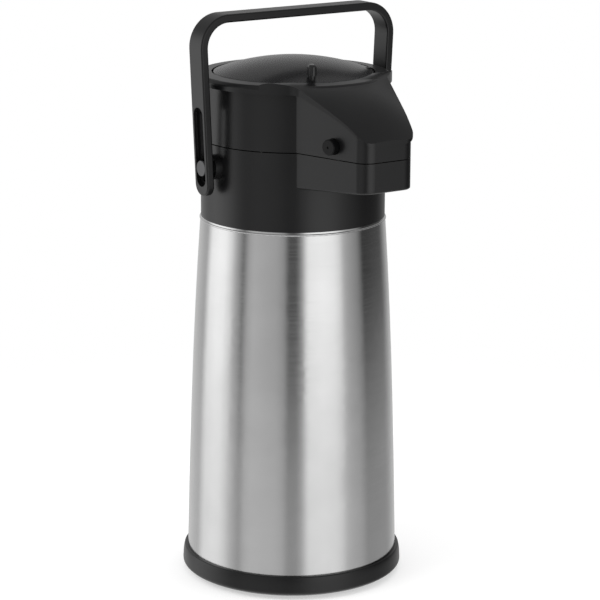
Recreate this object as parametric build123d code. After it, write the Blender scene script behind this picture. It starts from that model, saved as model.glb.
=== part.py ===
from build123d import *
import os
from math import cos, sin, tan, radians, hypot

# Thermal coffee airpot, in millimetres. +Z is up, the vessel's axis is Z, the floor is z = 0
# and the pouring nose points along -Y. "along" is measured from the axis towards the nose.

# ---- clearances ----
run = 0.3  # between surfaces of different bodies that pass each other
shaft_run = 0.06  # radial play of a pin or shaft in its bore
seat = 0.1  # between round surfaces of one body that fit in each other

# ---- steel body ----
steel_r0 = 74.3  # at its lower edge
steel_draw1 = 2.4  # how much it has narrowed at steel_z1
steel_draw2 = 3.2  # and from there at steel_z2
steel_draw3 = 4.5  # and from there at its top
steel_z1 = 97.2
steel_z2 = 177.8
steel_top = 256.8  # shoulder that the collar stands on
steel_t = 0.8
bead = 0.7  # rolled bead under the collar
pan_lift = 0.5  # bottom pan above the web
pan_step = 4.0  # how far the bottom pan is drawn up in the middle
pan_step_r = 42.0
pan_rim = 6.0
seal_r = 6.0
seal_h = 1.5

# ---- base ring ----
base_flare = 3.2  # how far its widest line stands out from the steel
base_tuck = 5.8  # how far its foot is drawn in from there
base_foot_w = 7.7
base_belly_z = 7.4
base_foot_z = 1.6
base_top = 16.7
web_top = 7.5  # the steel body stands on this web
web_h = 2.5
base_lip = 2.2  # how far the ring's top stands out from the steel
base_lip_round = 0.9

# ---- swivel base ----
turntable_gap = 1.0  # between the turntable's rim and the base ring
turntable_top = 4.4
turntable_skin = 1.0  # height of its underside above the floor
hub_r = 12.0
foot_in = 3.0  # rubber foot, in from the turntable's rim
foot_w = 10.0
foot_h = 2.2
glide_in = 13.0
glide_w = 6.0
glide_h = 0.5
spigot_r = 5.0
clip_w = 4.0
clip_h = 1.2

# ---- inner bottle and neck ----
liner_gap = 6.5
liner_z0 = 24.0
liner_drop = 8.6  # where its shoulder starts, below the steel's top
liner_weld_drop = 12.0  # weld below the liner's shoulder
liner_cup_w = 6.0  # flanges of the cup under the bottle
neck_r = 43.0
neck_h = 13.0
neck_drop = 8.0  # where the liner's neck starts, below the shoulder's flat
shoulder_rise = 15.2  # flat of the shoulder above the steel's top
shoulder_rim = 0.9
ledge_rise = 2.0  # step in the neck that the tube seat lies on, above the shoulder's flat
ledge_w = 1.0

# ---- collar ----
collar_step = 0.4  # how far the collar stands in from the steel
collar_t = 2.4
seam_z = 311.0
seam_gap = 0.6
gasket_h = 2.5
flange_h = 2.5
deck_rise = 12.0  # top of the drip deck at the wall, above the clamp flange
nut_w = 6.5
nut_lip = 1.7
notch_r = 2.6
notches = 8

# ---- nose, in plan ----
nose_root = 60.3  # along, where the half width is nose_half
nose_half = 32.6
nose_taper = 14.0  # degrees that each side wall leans in
nose_tip = 111.6
nose_corner = 10.0
nose_round = 1.6  # lower edge
nose_floor_z = 287.1  # underside at the root
nose_floor_rise = 0.066  # rise for each millimetre along
mouth_r = 8.0
mouth_set = 16.1  # middle of the mouth, back from the tip

# ---- lid ----
lid_step = 0.3  # how far the lid stands in from the collar
lid_t = 2.4
lip_out = 4.1  # how far the lip stands out from the lid's wall
lip_z = 350.4  # underside of the lip
lip_h = 3.4
lip_round = 1.6
deck_z = 356.5  # top of the lid around the dome
rim_w = 8.4  # from the dome's edge out to the lid's wall
well_gap = 1.0  # open ring between dome and lid
well_t = 2.8
well_h = 24.5
hood_root = 55.4
hood_end = 108.9
hood_half_root = 38.1
hood_half_end = 21.5
hood_tip = 112.6
hood_corner = 10.3
hood_flow = 12.0  # rounding in plan where the lip runs into the hood
hood_drop = 25.4  # from the lip's underside to the hood's front corners
hood_skin = 2.6
hood_spill = 1.3  # sections of the hood are this much wider than its plan
# stations from root to end: share of the length, share of the drop, side height, crown height
hood_shape = [
    (-0.3, 0.0, 6.1, 0.02),
    (0.0, 0.0, 6.0, 0.1),
    (0.215, 0.122, 4.2, 3.2),
    (0.46, 0.335, 2.8, 5.3),
    (0.708, 0.58, 2.0, 4.8),
    (1.0, 1.0, 1.6, 2.4),
    (1.12, 1.2, 1.5, 1.4),
]

# ---- lid hinge ----
hinge_out = 4.7  # hinge line behind the collar's wall
hinge_drop = 4.2  # and below the seam
knuckle_r = 4.0
knuckle_half = 12.0
ear_w = 7.5
web_drop = 12.0  # foot of the ears' webs
knuckle_web = 15.0
hinge_pin_r = 1.5
pin_rim = 1.0

# ---- press dome and lock ----
dome_drop = 0.2  # edge of the dome below the deck
dome_rise = 10.1
dome_t = 2.0
skirt_h = 21.3
post_r = 6.0
lock_in = 6.4  # lock's pivot, in from the dome's edge
lock_turn = 20.0  # degrees from the nose towards -X
lock_len = 8.6
lock_w = 5.6
lock_gap = 2.2  # under the tab
lock_h = 7.4
lock_stem_r = 2.4
tongue_drop = 13.3  # tongue below the dome's edge
tongue_h = 2.4
tongue_w = 5.0
tongue_heel = 1.2
tongue_tip = 8.8
tongue_play = 0.8
vent_in = 3.4
vent_turn = 63.0
vent_ring = 2.0

# ---- pump and stopper ----
floor_rise = 0.8  # lid's floor above the seam
floor_h = 2.2
floor_play = 0.4
bellows_r = 38.0
bellows_in = 31.0
bellows_t = 1.3
pleats = 5
plate_r = 34.0
plate_h = 2.0
plate_drop = 11.9  # press plate below the dome's edge
spring_r = 14.0
spring_wire = 1.1
spring_turns = 5
air_hole_r = 10.0
stopper_rise = 4.0  # above the neck's ledge
stopper_play = 7.0  # between the stopper and the neck
stopper_draft = 2.5
stopper_t = 2.2
stopper_flange = 4.0  # out from the neck
stopper_wall = 1.0
stopper_gasket_h = 3.8
valve_r = 13.0
valve_hole_at = 7.0
valve_hole_r = 2.0
valve_stem_r = 1.6
tube_set = 12.0  # dip tube, in from the stopper's wall
tube_r = 4.5
tube_t = 1.0
tube_lift = 6.0  # its foot above the bottle's floor
seat_hub_r = 8.0
seat_h = 2.6
seat_rim_w = 4.0
seat_arm_w = 5.0
sleeve_t = 1.5
pipe_drop = 10.0  # low run of the outlet pipe, below the seam
pipe_rise = 7.7  # and its high run above it
pipe_run = 14.0  # length of the rise between them
pipe_bend = 8.0
nozzle_lift = 3.6
nozzle_r = 6.3
nozzle_h = 12.0
screw_r = 1.3
screw_head_r = 2.3
screw_head_h = 1.5
screw_in = 2.5  # circle of the screws, in from the lid's wall
screw_h = 9.0
post_screw_r = 2.4

# ---- release buttons ----
button_along = 84.9
button_z = 319.6
button_r = 5.25
button_out = 5.6
button_flange_r = 6.6
button_flange_t = 1.4
stem_r = 2.3
stem_len = 12.5
hook_w = 6.0
hook_t = 1.6
hook_drop = 7.8  # foot of the latch hook, below the seam
catch_drop = 4.6
catch_h = 2.0
catch_t = 1.0
ear_in = 7.2  # lateral start of the two guide arms on the lid floor
ear_out = 11.8
guide_w = 9.0
guide_t = 1.8
guide_rise = 5.5
button_spring_wire = 0.4

# ---- handle ----
pivot_z = 296.4
leg_gap = 0.8  # between washer and leg
leg_splay = 2.8  # degrees
strap_t = 5.6
strap_w = 16.0
handle_room = 33.7  # top of the bail above the dome
handle_corner = 22.0
leg_below = 19.1  # end of the legs below the pivot
strap_edge = 1.2
recess_w = 11.0
recess_low = -12.6  # ends of the outer recess, from the pivot
recess_high = 41.8
recess_t = 3.4
slot_w = 7.0
slot_low = -10.0
slot_high = 39.0
pin_r = 3.4
pin_head_r = 5.3
pin_head_t = 1.3
pin_head_round = 0.35
boss_r = 8.5
boss_out = 4.9
boss_back = 2.4
washer_t = 0.6
washer_r = 6.5
pin_past = 2.3
clip_groove = 0.9
e_clip_r = 5.6
e_clip_t = 0.8
e_clip_gap = 2.4

# ---- sizes that follow from those above ----
taper = tan(radians(nose_taper))
wall_slant = cos(radians(nose_taper))
steel_r1 = steel_r0 - steel_draw1
steel_r2 = steel_r1 - steel_draw2
steel_r3 = steel_r2 - steel_draw3
web_z = web_top - web_h
pan_z = web_top + pan_lift
pan_floor = pan_z + pan_step
base_r = steel_r0 + base_flare
base_foot_r = base_r - base_tuck
base_in_r = base_foot_r - base_foot_w
turntable_r = base_in_r - turntable_gap
foot_r = turntable_r - foot_in
glide_r = turntable_r - glide_in
collar_r = steel_r3 - collar_step
collar_in = collar_r - collar_t
collar_top = seam_z - seam_gap / 2
shoulder_flat = steel_top + shoulder_rise
nut_r = neck_r + nut_w
shoulder_flat_r = nut_r + shoulder_rim
liner_shoulder_z = steel_top - liner_drop
liner_neck_z = shoulder_flat - neck_drop
ledge_z = shoulder_flat + ledge_rise
seat_top = ledge_z + seat_h
neck_top = shoulder_flat + neck_h
nut_z = shoulder_flat + gasket_h + flange_h
nut_top = neck_top + steel_t + nut_lip
deck_outer_z = nut_z + deck_rise
mouth_along = nose_tip - mouth_set
lid_bottom = seam_z + seam_gap / 2
lid_r = collar_r - lid_step
lid_in = lid_r - lid_t
lip_r = lid_r + lip_out
well_z = deck_z - well_h
hinge_y = collar_r + hinge_out
hinge_z = seam_z - hinge_drop
dome_r = lid_r - rim_w
well_r = dome_r + well_gap
dome_edge_z = deck_z - dome_drop
dome_top = dome_edge_z + dome_rise
skirt_z = dome_edge_z - skirt_h
lock_r = dome_r - lock_in
tongue_z = dome_edge_z - tongue_drop
vent_r = dome_r - vent_in
floor_z = seam_z + floor_rise
floor_top = floor_z + floor_h
floor_r = lid_in - floor_play
screw_ring = lid_in - screw_in
plate_z = dome_edge_z - plate_drop
plate_top = plate_z + plate_h
stopper_z = ledge_z + stopper_rise
stopper_floor = stopper_z + stopper_t
stopper_r = neck_r - stopper_play
stopper_top_r = stopper_r + stopper_draft
stopper_flange_r = neck_r + stopper_flange
stopper_wall_r = neck_r + stopper_wall
flange_z = nut_top + stopper_gasket_h + run
tube_y = tube_set - stopper_r
tube_foot_z = liner_z0 + tube_lift
pipe_low_z = seam_z - pipe_drop
pipe_high_z = seam_z + pipe_rise
nozzle_z = nose_floor_z + nozzle_lift
hook_z = seam_z - hook_drop
catch_z = seam_z - catch_drop
guide_top = button_z + guide_rise
arm_end = button_along + guide_w / 2 + 0.5
boss_end = collar_r + boss_out
boss_in = collar_in - boss_back
pin_in = boss_in - pin_past
leg_x = boss_end + washer_t + leg_gap + strap_t  # outer face of each leg at the pivot
leg_end = pivot_z - leg_below
handle_top = dome_top + handle_room
beyond = 5.0  # how far cutters reach past what they cut


def lathe(points, rounds=0):
    """Ring turned about Z from a closed outline of (radius, height) points."""
    if rounds:
        outline = FilletPolyline(*points, radius=rounds, close=True)
    else:
        outline = Polyline(*points, close=True)
    return revolve(Plane.XZ * make_face(outline.edges()), Axis.Z)


def tube(r_out, r_in, z0, z1):
    """Straight ring about Z."""
    return lathe([(r_in, z0), (r_out, z0), (r_out, z1), (r_in, z1)])


def disc(r, z0, z1):
    """Solid cylinder about Z."""
    return Pos(0, 0, (z0 + z1) / 2) * Cylinder(r, z1 - z0)


def prism(face, z0, z1):
    """A plan face, raised from z0 to z1."""
    return extrude(Pos(0, 0, z0) * face, z1 - z0)


def side_slab(points, half_width, offset=0.0):
    """A side view outline of (y, z) points, extruded across X to both sides of x = offset."""
    face = make_face(Polyline(*points, close=True).edges())
    return Pos(offset, 0, 0) * extrude(Plane.YZ * face, half_width, both=True)


def cross_rod(r, x0, x1, y, z):
    """Cylinder along X."""
    return Pos((x0 + x1) / 2, y, z) * Rot(0, 90, 0) * Cylinder(r, abs(x1 - x0))


def both_sides(solid):
    """A solid and its mirror image in the YZ plane."""
    return solid + mirror(solid, Plane.YZ)


def nose_half_at(along):
    return nose_half - taper * (along - nose_root)


def plan(root, half_root, tip, half_tip, corner):
    """Tapered plan outline that starts inside the round wall and ends in a rounded tip."""
    points = [(half_root, -root), (half_tip, -tip), (-half_tip, -tip), (-half_root, -root)]
    return make_face(FilletPolyline(*points, radius=[0, corner, corner, 0], close=True).edges())


def nose_plan(inset=0.0):
    """Plan of the nose walls, moved in by inset."""
    side = inset / wall_slant
    root = collar_r / 3
    return plan(
        root,
        nose_half_at(root) - side,
        nose_tip - inset,
        nose_half_at(nose_tip - inset) - side,
        nose_corner - inset,
    )


def turntable():
    """Plate under the pot: flat hub, groove for the rubber foot, spigot that the pot turns on."""
    groove_in = foot_r - foot_w - seat
    groove_out = foot_r + seat
    plate = lathe(
        [
            (0, 0),
            (hub_r, 0),
            (hub_r, turntable_skin),
            (groove_in, turntable_skin),
            (groove_in, foot_h),
            (groove_out, foot_h),
            (groove_out, turntable_skin),
            (turntable_r - turntable_skin, turntable_skin),
            (turntable_r, turntable_skin * 2),
            (turntable_r, turntable_top),
            (spigot_r, turntable_top),
            (spigot_r, web_top + clip_h * 2),
            (0, web_top + clip_h * 2),
        ]
    )
    return plate


def foot_ring():
    return lathe(
        [(foot_r - foot_w, 0), (foot_r, 0), (foot_r, foot_h), (foot_r - foot_w, foot_h)],
        [0.6, 0.6, 0, 0],
    )


def glide_ring():
    return tube(glide_r, glide_r - glide_w, turntable_top, turntable_top + glide_h)


def swivel_clip():
    """Push-on washer that keeps the spigot in the web of the base ring."""
    z0 = web_top + shaft_run * 2
    return tube(spigot_r + clip_w, spigot_r + seat, z0, z0 + clip_h)


def base_ring():
    """Rounded foot ring with the web that the steel body stands on."""
    top_r = steel_r0 + base_lip
    outline = Polyline(
        (base_foot_r, base_foot_z),
        (base_in_r, base_foot_z),
        (base_in_r, web_z),
        (spigot_r + shaft_run, web_z),
        (spigot_r + shaft_run, web_top),
        (steel_r0 - beyond, web_top),
        (steel_r0 - beyond, base_top),
        (top_r - base_lip_round, base_top),
    )
    rim = Spline(
        (top_r - base_lip_round, base_top),
        (top_r, base_top - base_lip_round),
        (base_r, base_belly_z),
        (base_foot_r, base_foot_z),
        tangents=[(1, 0), (-1, -0.35)],
    )
    ring = revolve(Plane.XZ * make_face(outline.edges() + rim.edges()), Axis.Z)
    return ring - barrel(-seat)


def steel_side(inset):
    """The barrel's side, moved in by inset."""
    return Spline(
        (steel_r0 - inset, web_top),
        (steel_r1 - inset, steel_z1),
        (steel_r2 - inset, steel_z2),
        (steel_r3 - inset, steel_top - 2 * bead),
    )


def barrel(inset):
    """Solid with the barrel's side, moved in by inset."""
    top = steel_top - 2 * bead
    ends = Polyline((steel_r3 - inset, top), (0, top), (0, web_top), (steel_r0 - inset, web_top))
    return revolve(Plane.XZ * make_face(steel_side(inset).edges() + ends.edges()), Axis.Z)


def body_shell():
    """Outer steel barrel with its rolled bead, shoulder and neck."""
    top_in = steel_top - steel_t
    edge = steel_r3 - steel_t
    flat_r = collar_in - 1.0
    over = Polyline(
        (steel_r3, steel_top - 2 * bead),
        (steel_r3 - 0.4 * bead, steel_top),
        (flat_r, steel_top),
        (shoulder_flat_r, shoulder_flat),
        (neck_r, shoulder_flat),
        (neck_r, neck_top),
        (neck_r - steel_t, neck_top),
        (neck_r - steel_t, shoulder_flat - steel_t),
        (shoulder_flat_r - steel_t / 2, shoulder_flat - steel_t),
        (flat_r - steel_t / 2, top_in),
        (edge, top_in),
        (edge, steel_top - 2 * bead),
    )
    foot = Line((steel_r0, web_top), (steel_r0 - steel_t, web_top))
    edges = steel_side(0).edges() + over.edges() + steel_side(steel_t).edges() + foot.edges()
    shell = revolve(Plane.XZ * make_face(edges), Axis.Z)
    ring_z = steel_top - 2.6 * bead
    roll = revolve(Plane.XZ * Pos(steel_r3 - 0.2 * bead, ring_z) * Circle(bead), Axis.Z)
    return shell + roll


def bottom_pan():
    """Steel bottom, drawn up in the middle, with a rim that follows the inside of the barrel."""
    play = steel_t + seat * 2
    ramp_r = pan_step_r + pan_step
    lean = steel_t * 0.4
    plate = lathe(
        [
            (0, pan_floor),
            (pan_step_r, pan_floor),
            (ramp_r, pan_z),
            (steel_r0, pan_z),
            (steel_r0, pan_z + steel_t),
            (ramp_r + lean, pan_z + steel_t),
            (pan_step_r + lean, pan_floor + steel_t),
            (0, pan_floor + steel_t),
        ]
    )
    rim = disc(steel_r0, pan_z, pan_z + pan_rim) - barrel(play + steel_t)
    return (plate + rim) & barrel(play)


def vacuum_seal():
    """Cap over the hole that the vacuum was drawn through."""
    z0 = pan_floor + steel_t
    top = z0 + seal_h
    return lathe([(0, z0), (seal_r, z0), (seal_r, z0 + seal_h / 2), (seal_r * 0.6, top), (0, top)])


def liner_support():
    """Steel cup between the pan and the inner bottle."""
    z0 = pan_floor + steel_t
    r = seal_r * 3
    return lathe(
        [
            (r, z0),
            (r + liner_cup_w, z0),
            (r + liner_cup_w, z0 + steel_t),
            (r + steel_t, z0 + steel_t),
            (r + steel_t, liner_z0),
            (r - liner_cup_w, liner_z0),
            (r - liner_cup_w, liner_z0 - steel_t),
            (r, liner_z0 - steel_t),
        ]
    )


def whole_liner():
    """Inner steel bottle: tapered side, round shoulder, stepped neck and welded lip."""
    low = steel_r0 - liner_gap
    high = steel_r3 - liner_gap + 1.0
    upper = neck_r - steel_t - 2 * seat
    lower = upper - ledge_w
    t = steel_t
    outer = [
        (0, liner_z0),
        (low, liner_z0),
        (high, liner_shoulder_z),
        (lower, liner_neck_z),
        (lower, ledge_z - t),
        (upper, ledge_z - t),
        (upper, neck_top),
        (neck_r, neck_top),
        (neck_r, neck_top + t),
        (upper - t, neck_top + t),
        (upper - t, ledge_z),
        (lower - t, ledge_z),
        (lower - t, liner_neck_z - t * 0.4),
        (high - t, liner_shoulder_z - t * 0.4),
        (low - t, liner_z0 + t),
        (0, liner_z0 + t),
    ]
    rounds = [0, 14.0, 9.0, 5.0, 0, 0, 0, 0, 0, 0, 0, 0, 5.0 + t, 9.0 - t, 14.0 - t, 0]
    return lathe(outer, rounds)


def vacuum_liner():
    """Drawn bottle of the liner, up to the weld below its shoulder."""
    return whole_liner() & disc(steel_r0, 0, liner_shoulder_z - liner_weld_drop)


def liner_shoulder():
    """Shoulder and stepped neck of the liner, welded onto the bottle."""
    return whole_liner() & disc(steel_r0, liner_shoulder_z - liner_weld_drop, handle_top)


def neck_gasket():
    return tube(nut_r + seat * 3, neck_r + seat * 2, shoulder_flat, shoulder_flat + gasket_h)


def neck_nut():
    """Ring nut that clamps the collar down on the neck, with grip notches."""
    ring = lathe(
        [
            (neck_r + seat, nut_z),
            (nut_r, nut_z),
            (nut_r, nut_top),
            (neck_r - steel_t - seat * 4, nut_top),
            (neck_r - steel_t - seat * 4, nut_top - nut_lip),
            (neck_r + seat, nut_top - nut_lip),
        ],
        [0, 0, 0.8, 0.5, 0, 0],
    )
    notch = Pos(nut_r + notch_r / 2, 0, (nut_z + nut_top) / 2) * Cylinder(notch_r, (nut_top - nut_z) * 0.6)
    return ring - [Rot(0, 0, 360 / notches * (k + 0.5)) * notch for k in range(notches)]


def nose_underside(lift=0.0):
    """Everything above the sloping underside of the nose."""
    start = collar_r / 3
    end = nose_tip * 1.2
    low = nose_floor_z + lift
    return side_slab(
        [
            (-start, low + nose_floor_rise * (start - nose_root)),
            (-end, low + nose_floor_rise * (end - nose_root)),
            (-end, lip_z),
            (-start, lip_z),
        ],
        collar_r,
    )


def ears():
    """The collar's two hinge ears, webbed to its wall."""
    inner = knuckle_half + run
    ear = cross_rod(knuckle_r, inner, inner + ear_w, hinge_y, hinge_z)
    web = side_slab(
        [
            (collar_in + collar_t / 3, hinge_z - web_drop),
            (hinge_y, hinge_z - knuckle_r + run),
            (hinge_y, collar_top - seat),
            (collar_in - collar_t, collar_top - seat),
            (collar_in - collar_t, hinge_z - web_drop),
        ],
        ear_w / 2,
        inner + ear_w / 2,
    )
    return both_sides(ear + web)


def collar():
    """Plastic collar: wall, lower nose, drip deck, clamp flange, handle bosses, hinge ears, catches."""
    nose = prism(nose_plan(), nose_floor_z - 6.0, collar_top) & nose_underside()
    nose = fillet(nose.faces().sort_by(Axis.Z)[0].edges().sort_by(Axis.Y)[:3], nose_round)
    body = disc(collar_r, steel_top, collar_top) + nose + ears()
    hollow = disc(collar_in, steel_top, collar_top)
    pocket = prism(nose_plan(collar_t), nose_floor_z - 6.0, collar_top) & nose_underside(collar_t)
    body = body - hollow - pocket
    mid = collar_in + collar_t / 2
    deck = lathe(
        [
            (neck_r + seat, shoulder_flat + gasket_h),
            (shoulder_flat_r + flange_h / 5, shoulder_flat + gasket_h),
            (mid, deck_outer_z - flange_h),
            (mid, deck_outer_z),
            (shoulder_flat_r - flange_h / 5, nut_z),
            (neck_r + seat, nut_z),
        ]
    )
    bosses = both_sides(cross_rod(boss_r, boss_in, boss_end, 0, pivot_z))
    body = body + deck + bosses
    bore = both_sides(cross_rod(pin_r + shaft_run, boss_in - beyond, boss_end + beyond, 0, pivot_z))
    mouth = Pos(0, -mouth_along, nose_floor_z) * Cylinder(mouth_r, 4 * beyond)
    pin_bore = hinge_bore()
    return body - bore - mouth - pin_bore + catches()


def hinge_bore():
    """Bore for the hinge pin through ears and knuckle."""
    reach = knuckle_half + ear_w + beyond
    return cross_rod(hinge_pin_r + shaft_run, -reach, reach, hinge_y, hinge_z)


def wall_plane(side):
    """Plane on the outside of a nose wall at the button: local z points out, local x up."""
    lean = radians(nose_taper)
    origin = (side * nose_half_at(button_along), -button_along, button_z)
    return Plane(origin=origin, x_dir=(0, 0, 1), z_dir=(side * cos(lean), -sin(lean), 0))


def wall_box(side, up0, up1, across, out0, out1):
    """Box in the button's wall plane: from up0 to up1, across wide, from out0 to out1 outwards."""
    box = Pos((up0 + up1) / 2, 0, (out0 + out1) / 2) * Box(up1 - up0, across, out1 - out0)
    return wall_plane(side) * box


def wall_rod(side, r, out0, out1):
    """Cylinder square to the nose wall, from out0 to out1 outwards."""
    return wall_plane(side) * (Pos(0, 0, (out0 + out1) / 2) * Cylinder(r, out1 - out0))


def catches():
    """Ridges inside the lower nose that the latch hooks click past."""
    low = catch_z - button_z
    return [
        wall_box(side, low, low + catch_h, hook_w * 1.6, -collar_t - catch_t, -collar_t / 2)
        for side in (-1, 1)
    ]


def tube_seat():
    """Ring on the ledge of the neck, with a hub that holds the dip tube."""
    r = neck_r - 2 * steel_t - 2 * seat - run
    ring = tube(r, r - seat_rim_w, ledge_z, seat_top)
    hub = Pos(0, tube_y, ledge_z + seat_h / 2) * Cylinder(seat_hub_r, seat_h)
    arms = Pos(0, tube_y, ledge_z + seat_h / 2) * Box(2 * r, seat_arm_w, seat_h)
    arms = arms & disc(r - seat_rim_w / 2, ledge_z, seat_top)
    bore = Pos(0, tube_y, ledge_z) * Cylinder(tube_r + seat, 4 * beyond)
    return ring + arms + hub - bore


def dip_tube():
    """Tube from the bottom of the bottle up to the stopper, with a notched foot and a stop collar."""
    wall = tube(tube_r, tube_r - tube_t, tube_foot_z, seat_top + run)
    stop = tube(tube_r + tube_t, tube_r - tube_t / 4, ledge_z - 2 * tube_t - seat, ledge_z - seat)
    notch = Pos(0, 0, tube_foot_z) * Box(tube_r / 2, 4 * tube_r, tube_lift)
    return Pos(0, tube_y, 0) * (wall + stop - notch)


def hinge_pin():
    end = knuckle_half + run + ear_w
    rod = cross_rod(hinge_pin_r, -end - seat * 2, end + seat * 2, hinge_y, hinge_z)
    heads = both_sides(cross_rod(hinge_pin_r + pin_rim, end + seat, end + pin_rim, hinge_y, hinge_z))
    return rod + heads


def hood_station(share, drop_share, side, crown):
    """One cross-section of the hood: flat sides, then a crowned top, a little wider than the plan."""
    along = hood_root + share * (hood_end - hood_root)
    wide = (hood_half_root + share * (hood_half_end - hood_half_root)) * hood_spill
    top = lip_z - hood_drop * drop_share + side + crown
    sag = crown * hood_spill**2
    low = lip_z - 2 * hood_drop
    arc = ThreePointArc((-wide, top - sag), (0, top), (wide, top - sag))
    rest = Polyline((wide, top - sag), (wide, low), (-wide, low), (-wide, top - sag))
    face = make_face(arc.edges() + rest.edges())
    return Plane(origin=(0, -along, 0), x_dir=(1, 0, 0), z_dir=(0, -1, 0)) * face


def hood_block(lower=0.0):
    """Solid under the hood's crowned upper surface, lowered by lower."""
    return Pos(0, 0, -lower) * loft([hood_station(*s) for s in hood_shape])


def lip_plan():
    """Plan of the lip: a circle that flows into the hood's overhanging sides."""
    step = collar_r / 2
    slope = (hood_half_root - hood_half_end) / (hood_end - hood_root)
    start = hood_root - step
    spout = plan(
        start,
        hood_half_root + slope * step,
        hood_tip,
        hood_half_end - slope * (hood_tip - hood_end),
        hood_corner,
    )
    outline = Circle(lip_r) + spout
    inner_corners = outline.vertices().sort_by(lambda v: abs(hypot(v.X, v.Y) - lip_r))[:2]
    return fillet(inner_corners, hood_flow)


def under_hood():
    """Everything below the lip's underside and the hood's falling edge."""
    low = lip_z - 2 * hood_drop
    curve = [
        (-(hood_root + share * (hood_end - hood_root)), lip_z - hood_drop * drop)
        for share, drop, _, _ in hood_shape[1:]
    ]
    edge = Spline(*curve, tangents=[(-1, 0), (-1, -0.75)])
    back = lip_r + beyond
    rest = Polyline(curve[-1], (curve[-1][0], low), (back, low), (back, lip_z), curve[0])
    face = make_face(edge.edges() + rest.edges())
    return extrude(Plane.YZ * face, back, both=True)


def lid_top():
    """Solid bounded above by the lid's deck, rounded lip and hood."""
    deck = lathe(
        [
            (0, lid_bottom),
            (lip_r, lid_bottom),
            (lip_r, lip_z + lip_h),
            (lip_r - lip_h * 0.7, deck_z - (deck_z - lip_z - lip_h) * 0.2),
            (well_r, deck_z),
            (0, deck_z),
        ],
        [0, 0, lip_round, lip_round * 1.5, 0, 0],
    )
    return deck + hood_block()


def lid_shell():
    """Lid casing: wall, overhanging lip, hood over the nose, well for the dome, hinge knuckle."""
    lip = prism(lip_plan(), lid_bottom, deck_z + beyond) - under_hood()
    wall = disc(lid_r, lid_bottom, lip_z + lip_h / 2) + prism(nose_plan(), lid_bottom, lip_z + lip_h)
    body = (lip + wall) & lid_top()
    cavity = prism(nose_plan(lid_t), lid_bottom, lip_z) & hood_block(hood_skin)
    cavity = cavity + disc(lid_in, lid_bottom, deck_z - lid_t * 2)
    well = disc(well_r + well_t, well_z, deck_z)
    body = body - (cavity - well) - disc(well_r, lid_bottom, deck_z + beyond)
    body = body + screw_posts() + knuckle()
    body = body - [wall_rod(side, button_r + run, -lid_t * 2, lid_t) for side in (-1, 1)]
    return body - tongue_window(well_r - 1.0, well_r + well_t + 1.0)


def screw_places():
    """The four places of the lid's screws."""
    return [Rot(0, 0, turn) * Pos(screw_ring, 0, 0) for turn in (35, 145, 215, 325)]


def screw_posts():
    post = disc(post_screw_r, floor_top, well_z + post_screw_r)
    post = post - disc(screw_r + seat / 2, floor_top - 1, floor_top + screw_h + 1)
    return [place * post for place in screw_places()]


def lid_screws():
    """Four screws that hold the lid floor to the posts."""
    head_z = floor_z - screw_head_h
    screw = disc(screw_r, floor_z - seat, floor_top + screw_h) + disc(screw_head_r, head_z, floor_z)
    driver = Pos(0, 0, head_z) * Box(screw_r * 2, screw_r / 2, screw_head_h)
    return Compound(children=[place * (screw - driver) for place in screw_places()])


def knuckle():
    """The lid's hinge knuckle and the web that joins it to the wall."""
    rod = cross_rod(knuckle_r, -knuckle_half, knuckle_half, hinge_y, hinge_z)
    web = side_slab(
        [
            (lid_in + lid_t / 3, lid_bottom),
            (collar_r + 3 * run, lid_bottom),
            (hinge_y - knuckle_r + seat * 2, hinge_z + knuckle_r * 0.15),
            (hinge_y + knuckle_r - seat, hinge_z + knuckle_r * 0.15),
            (lid_r, lid_bottom + knuckle_web),
            (lid_in + lid_t / 3, lid_bottom + knuckle_web),
        ],
        knuckle_half,
    )
    return rod + web - hinge_bore()


def tongue_window(r_in, r_out):
    """Window that the lock's tongue sweeps through, in the dome's skirt or the lid's well."""
    ring = tube(r_out, r_in, tongue_z - tongue_play, tongue_z + tongue_h + tongue_play)
    left = -tongue_w / 2 - 2 * tongue_play
    right = tongue_tip + tongue_play
    swept = Box(right - left, 4 * tongue_tip, 4 * beyond)
    swept = Pos((left + right) / 2, -lock_r - tongue_tip, tongue_z) * swept
    return ring & (Rot(0, 0, -lock_turn) * swept)


def lock_place():
    """Place of the lock's pivot, with local -Y pointing out from the axis."""
    return Rot(0, 0, -lock_turn) * Pos(0, -lock_r, 0)


def dome_profile(inset):
    """Arc of the dome's surface, moved in by inset."""
    r = dome_r - inset
    top = dome_top - inset
    edge = dome_edge_z - inset
    middle = top - dome_rise * 0.25
    return r, edge, ThreePointArc((0, top), (r / 2, middle), (r, edge))


def press_dome():
    """Press dome with skirt, centre post, lock hole, tongue window and vent ring."""
    r_out, edge_out, arc_out = dome_profile(0)
    r_in, edge_in, arc_in = dome_profile(dome_t)
    rim = Polyline((r_out, edge_out), (r_out, skirt_z), (r_in, skirt_z), (r_in, edge_in))
    crown = Line((0, dome_top), (0, dome_top - dome_t))
    face = make_face(arc_out.edges() + rim.edges() + arc_in.edges() + crown.edges())
    dome = revolve(Plane.XZ * face, Axis.Z)
    circles = dome.edges().filter_by(GeomType.CIRCLE)
    dome = fillet(circles.sort_by(lambda e: abs(e.center().Z - edge_out))[:1], dome_t / 2)
    dome = dome + disc(post_r, plate_top, dome_top - dome_t / 2)
    dome = dome - lock_place() * disc(lock_stem_r + shaft_run, dome_edge_z - 3 * dome_t, dome_top)
    ring = disc(vent_ring, dome_edge_z - dome_t / 2, dome_z_at(vent_r) + vent_ring / 3)
    ring = ring - disc(vent_ring / 2, dome_z_at(vent_r) - seat, dome_top)
    dome = dome + Rot(0, 0, vent_turn) * Pos(0, -vent_r, 0) * ring
    return dome - tongue_window(r_in - 1.0, r_out + 1.0)


def dome_z_at(r):
    """Height of the dome's surface at a radius."""
    return dome_edge_z + dome_rise * (1 - (r / dome_r) ** 2)


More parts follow.
